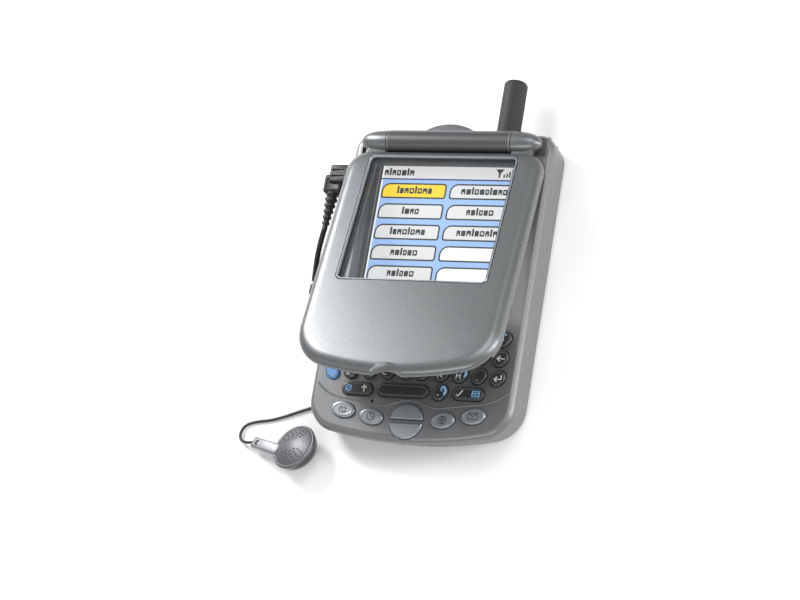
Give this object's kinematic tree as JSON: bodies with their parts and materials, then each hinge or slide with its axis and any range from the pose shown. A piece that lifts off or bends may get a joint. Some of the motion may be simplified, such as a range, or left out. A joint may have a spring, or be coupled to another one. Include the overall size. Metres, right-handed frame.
{
  "type": "personal digital assistant",
  "caption": "Pocket organiser phone with a hinged windowed lid, thumb keyboard, stub antenna and a wired earphone.",
  "frame": {"origin": "middle of the flat back face, which the part lies on", "axes": "+X to the right of the keyboard, +Y towards the antenna, +Z out of the screen"},
  "size_m": [0.1005, 0.1394, 0.0386],
  "materials": {
    "case": "silver-grey metallic paint on moulded plastic, fine speckle",
    "lid": "silver-grey metallic paint on moulded plastic, fine speckle",
    "clear_window": "clear polycarbonate",
    "display": "lit screen behind glass",
    "keys": "charcoal, satin gloss",
    "blue_key": "light blue, satin gloss",
    "buttons": "silver, satin",
    "rocker": "charcoal",
    "antenna": "charcoal, fine texture",
    "dark_window": "smoked plastic",
    "dark_plastic": "black",
    "stylus": "dark grey",
    "steel": "plain",
    "board": "green solder mask",
    "cell": "foil pouch",
    "cord_black": "black soft plastic",
    "earbud": "silver face, gloss black housing"
  },
  "bodies": {
    "case": {"back_shell": "case", "front_shell": "case", "case_screws": "steel", "display_module": "display", "main_board": "board", "battery": "cell", "antenna": "antenna", "ir_window": "dark_window", "hinge_pins": "steel"},
    "lid": {"lid_shell": "lid", "lid_window": "clear_window", "ear_speaker": "dark_plastic"},
    "stylus": {"stylus": "stylus"},
    "rocker": {"rocker_switch": "rocker"},
    "power": {"power_button": "rocker"},
    "headset": {"headset_plug": "cord_black", "cord_near": "cord_black", "cord_hank": "cord_black", "cord_far": "cord_black", "earbud": "earbud"},
    "key_q": {"key_q": "keys"},
    "key_w": {"key_w": "keys"},
    "key_e": {"key_e": "keys"},
    "key_r": {"key_r": "keys"},
    "key_t": {"key_t": "keys"},
    "key_y": {"key_y": "keys"},
    "key_u": {"key_u": "keys"},
    "key_i": {"key_i": "keys"},
    "key_o": {"key_o": "keys"},
    "key_p": {"key_p": "keys"},
    "key_a": {"key_a": "keys"},
    "key_s": {"key_s": "keys"},
    "key_d": {"key_d": "keys"},
    "key_f": {"key_f": "keys"},
    "key_g": {"key_g": "keys"},
    "key_h": {"key_h": "keys"},
    "key_j": {"key_j": "keys"},
    "key_k": {"key_k": "keys"},
    "key_l": {"key_l": "keys"},
    "key_backspace": {"key_backspace": "keys"},
    "key_option": {"key_option": "blue_key"},
    "key_z": {"key_z": "keys"},
    "key_x": {"key_x": "keys"},
    "key_c": {"key_c": "keys"},
    "key_v": {"key_v": "keys"},
    "key_b": {"key_b": "keys"},
    "key_n": {"key_n": "keys"},
    "key_m": {"key_m": "keys"},
    "key_period": {"key_period": "keys"},
    "key_enter": {"key_enter": "keys"},
    "key_zero": {"key_zero": "keys"},
    "key_symbol": {"key_symbol": "keys"},
    "key_space": {"key_space": "keys"},
    "key_menu": {"key_menu": "keys"},
    "button_phone": {"button_phone": "buttons"},
    "button_calendar": {"button_calendar": "buttons"},
    "button_messages": {"button_messages": "buttons"},
    "button_contacts": {"button_contacts": "buttons"},
    "button_up": {"button_up": "buttons"},
    "button_down": {"button_down": "buttons"}
  },
  "joints": [
    {"name": "lid_hinge", "type": "hinge", "parent": "case", "child": "lid", "pos_m": [0, 0.0499, 0.0169], "axis": [-1, 0, 0], "range_deg": [-12.1, 122.9]},
    {"name": "stylus_slide", "type": "slide", "parent": "case", "child": "stylus", "axis": [0, 1, 0], "range_m": [0, 0.1]},
    {"name": "rocker_tilt", "type": "hinge", "parent": "case", "child": "rocker", "pos_m": [-0.033, 0.014, 0.0104], "axis": [0, 0, 1], "range_deg": [-2.5, 2.5], "stiffness_Nm_per_rad": 0.05},
    {"name": "power_press", "type": "slide", "parent": "case", "child": "power", "axis": [0, -1, 0], "range_m": [0, 0.0005], "stiffness_N_per_m": 1200, "springref_m": -0.0003},
    {"name": "headset_plug_slide", "type": "slide", "parent": "case", "child": "headset", "axis": [-1, 0, 0], "range_m": [0, 0.014]},
    {"name": "key_q_press", "type": "slide", "parent": "case", "child": "key_q", "axis": [0, 0, -1], "range_m": [0, 0.0005], "stiffness_N_per_m": 900, "springref_m": -0.0003},
    {"name": "key_w_press", "type": "slide", "parent": "case", "child": "key_w", "axis": [0, 0, -1], "range_m": [0, 0.0005], "stiffness_N_per_m": 900, "springref_m": -0.0003},
    {"name": "key_e_press", "type": "slide", "parent": "case", "child": "key_e", "axis": [0, 0, -1], "range_m": [0, 0.0005], "stiffness_N_per_m": 900, "springref_m": -0.0003},
    {"name": "key_r_press", "type": "slide", "parent": "case", "child": "key_r", "axis": [0, 0, -1], "range_m": [0, 0.0005], "stiffness_N_per_m": 900, "springref_m": -0.0003},
    {"name": "key_t_press", "type": "slide", "parent": "case", "child": "key_t", "axis": [0, 0, -1], "range_m": [0, 0.0005], "stiffness_N_per_m": 900, "springref_m": -0.0003},
    {"name": "key_y_press", "type": "slide", "parent": "case", "child": "key_y", "axis": [0, 0, -1], "range_m": [0, 0.0005], "stiffness_N_per_m": 900, "springref_m": -0.0003},
    {"name": "key_u_press", "type": "slide", "parent": "case", "child": "key_u", "axis": [0, 0, -1], "range_m": [0, 0.0005], "stiffness_N_per_m": 900, "springref_m": -0.0003},
    {"name": "key_i_press", "type": "slide", "parent": "case", "child": "key_i", "axis": [0, 0, -1], "range_m": [0, 0.0005], "stiffness_N_per_m": 900, "springref_m": -0.0003},
    {"name": "key_o_press", "type": "slide", "parent": "case", "child": "key_o", "axis": [0, 0, -1], "range_m": [0, 0.0005], "stiffness_N_per_m": 900, "springref_m": -0.0003},
    {"name": "key_p_press", "type": "slide", "parent": "case", "child": "key_p", "axis": [0, 0, -1], "range_m": [0, 0.0005], "stiffness_N_per_m": 900, "springref_m": -0.0003},
    {"name": "key_a_press", "type": "slide", "parent": "case", "child": "key_a", "axis": [0, 0, -1], "range_m": [0, 0.0005], "stiffness_N_per_m": 900, "springref_m": -0.0003},
    {"name": "key_s_press", "type": "slide", "parent": "case", "child": "key_s", "axis": [0, 0, -1], "range_m": [0, 0.0005], "stiffness_N_per_m": 900, "springref_m": -0.0003},
    {"name": "key_d_press", "type": "slide", "parent": "case", "child": "key_d", "axis": [0, 0, -1], "range_m": [0, 0.0005], "stiffness_N_per_m": 900, "springref_m": -0.0003},
    {"name": "key_f_press", "type": "slide", "parent": "case", "child": "key_f", "axis": [0, 0, -1], "range_m": [0, 0.0005], "stiffness_N_per_m": 900, "springref_m": -0.0003},
    {"name": "key_g_press", "type": "slide", "parent": "case", "child": "key_g", "axis": [0, 0, -1], "range_m": [0, 0.0005], "stiffness_N_per_m": 900, "springref_m": -0.0003},
    {"name": "key_h_press", "type": "slide", "parent": "case", "child": "key_h", "axis": [0, 0, -1], "range_m": [0, 0.0005], "stiffness_N_per_m": 900, "springref_m": -0.0003},
    {"name": "key_j_press", "type": "slide", "parent": "case", "child": "key_j", "axis": [0, 0, -1], "range_m": [0, 0.0005], "stiffness_N_per_m": 900, "springref_m": -0.0003},
    {"name": "key_k_press", "type": "slide", "parent": "case", "child": "key_k", "axis": [0, 0, -1], "range_m": [0, 0.0005], "stiffness_N_per_m": 900, "springref_m": -0.0003},
    {"name": "key_l_press", "type": "slide", "parent": "case", "child": "key_l", "axis": [0, 0, -1], "range_m": [0, 0.0005], "stiffness_N_per_m": 900, "springref_m": -0.0003},
    {"name": "key_backspace_press", "type": "slide", "parent": "case", "child": "key_backspace", "axis": [0, 0, -1], "range_m": [0, 0.0005], "stiffness_N_per_m": 900, "springref_m": -0.0003},
    {"name": "key_option_press", "type": "slide", "parent": "case", "child": "key_option", "axis": [0, 0, -1], "range_m": [0, 0.0005], "stiffness_N_per_m": 900, "springref_m": -0.0003},
    {"name": "key_z_press", "type": "slide", "parent": "case", "child": "key_z", "axis": [0, 0, -1], "range_m": [0, 0.0005], "stiffness_N_per_m": 900, "springref_m": -0.0003},
    {"name": "key_x_press", "type": "slide", "parent": "case", "child": "key_x", "axis": [0, 0, -1], "range_m": [0, 0.0005], "stiffness_N_per_m": 900, "springref_m": -0.0003},
    {"name": "key_c_press", "type": "slide", "parent": "case", "child": "key_c", "axis": [0, 0, -1], "range_m": [0, 0.0005], "stiffness_N_per_m": 900, "springref_m": -0.0003},
    {"name": "key_v_press", "type": "slide", "parent": "case", "child": "key_v", "axis": [0, 0, -1], "range_m": [0, 0.0005], "stiffness_N_per_m": 900, "springref_m": -0.0003},
    {"name": "key_b_press", "type": "slide", "parent": "case", "child": "key_b", "axis": [0, 0, -1], "range_m": [0, 0.0005], "stiffness_N_per_m": 900, "springref_m": -0.0003},
    {"name": "key_n_press", "type": "slide", "parent": "case", "child": "key_n", "axis": [0, 0, -1], "range_m": [0, 0.0005], "stiffness_N_per_m": 900, "springref_m": -0.0003},
    {"name": "key_m_press", "type": "slide", "parent": "case", "child": "key_m", "axis": [0, 0, -1], "range_m": [0, 0.0005], "stiffness_N_per_m": 900, "springref_m": -0.0003},
    {"name": "key_period_press", "type": "slide", "parent": "case", "child": "key_period", "axis": [0, 0, -1], "range_m": [0, 0.0005], "stiffness_N_per_m": 900, "springref_m": -0.0003},
    {"name": "key_enter_press", "type": "slide", "parent": "case", "child": "key_enter", "axis": [0, 0, -1], "range_m": [0, 0.0005], "stiffness_N_per_m": 900, "springref_m": -0.0003},
    {"name": "key_zero_press", "type": "slide", "parent": "case", "child": "key_zero", "axis": [0, 0, -1], "range_m": [0, 0.0005], "stiffness_N_per_m": 900, "springref_m": -0.0003},
    {"name": "key_symbol_press", "type": "slide", "parent": "case", "child": "key_symbol", "axis": [0, 0, -1], "range_m": [0, 0.0005], "stiffness_N_per_m": 900, "springref_m": -0.0003},
    {"name": "key_space_press", "type": "slide", "parent": "case", "child": "key_space", "axis": [0, 0, -1], "range_m": [0, 0.0005], "stiffness_N_per_m": 900, "springref_m": -0.0003},
    {"name": "key_menu_press", "type": "slide", "parent": "case", "child": "key_menu", "axis": [0, 0, -1], "range_m": [0, 0.0005], "stiffness_N_per_m": 900, "springref_m": -0.0003},
    {"name": "button_phone_press", "type": "slide", "parent": "case", "child": "button_phone", "axis": [0, 0, -1], "range_m": [0, 0.0005], "stiffness_N_per_m": 1100, "springref_m": -0.0003},
    {"name": "button_calendar_press", "type": "slide", "parent": "case", "child": "button_calendar", "axis": [0, 0, -1], "range_m": [0, 0.0005], "stiffness_N_per_m": 1100, "springref_m": -0.0003},
    {"name": "button_messages_press", "type": "slide", "parent": "case", "child": "button_messages", "axis": [0, 0, -1], "range_m": [0, 0.0005], "stiffness_N_per_m": 1100, "springref_m": -0.0003},
    {"name": "button_contacts_press", "type": "slide", "parent": "case", "child": "button_contacts", "axis": [0, 0, -1], "range_m": [0, 0.0005], "stiffness_N_per_m": 1100, "springref_m": -0.0003},
    {"name": "button_up_press", "type": "slide", "parent": "case", "child": "button_up", "axis": [0, 0, -1], "range_m": [0, 0.0005], "stiffness_N_per_m": 1100, "springref_m": -0.0003},
    {"name": "button_down_press", "type": "slide", "parent": "case", "child": "button_down", "axis": [0, 0, -1], "range_m": [0, 0.0005], "stiffness_N_per_m": 1100, "springref_m": -0.0003}
  ]
}
